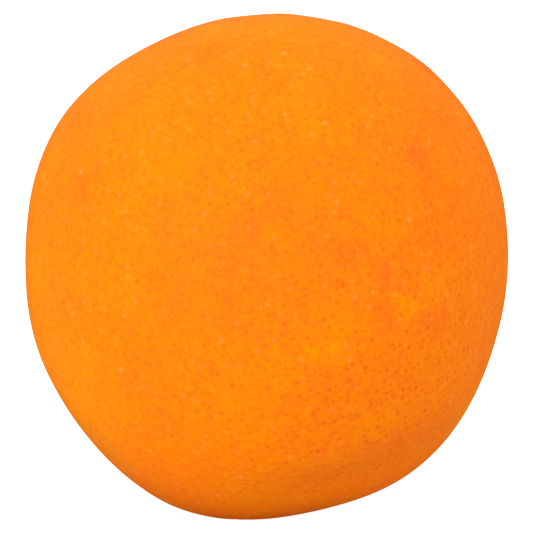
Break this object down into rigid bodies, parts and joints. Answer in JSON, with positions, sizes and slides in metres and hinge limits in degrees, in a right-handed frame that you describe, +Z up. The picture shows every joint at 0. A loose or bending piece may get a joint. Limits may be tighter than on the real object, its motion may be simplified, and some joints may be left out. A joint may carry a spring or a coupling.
{
  "type": "orange",
  "caption": "Whole sweet orange, a little taller than wide and unevenly round, with its green calyx button at the stem end, resting on a small flat spot.",
  "frame": {"origin": "on the surface that the orange rests on, under the middle of its bounding box", "axes": "+Z up, towards the stem end; +X to the right and +Y away from the front, the side with the crease low on its right"},
  "size_m": [0.075, 0.0774, 0.0782],
  "materials": {
    "peel": "waxy orange citrus peel with fine oil glands, softly glossy",
    "calyx": "dull dry green, browner at the tips and at the cut stub"
  },
  "bodies": {
    "root": {"fruit": "peel", "calyx": "calyx"}
  },
  "joints": []
}
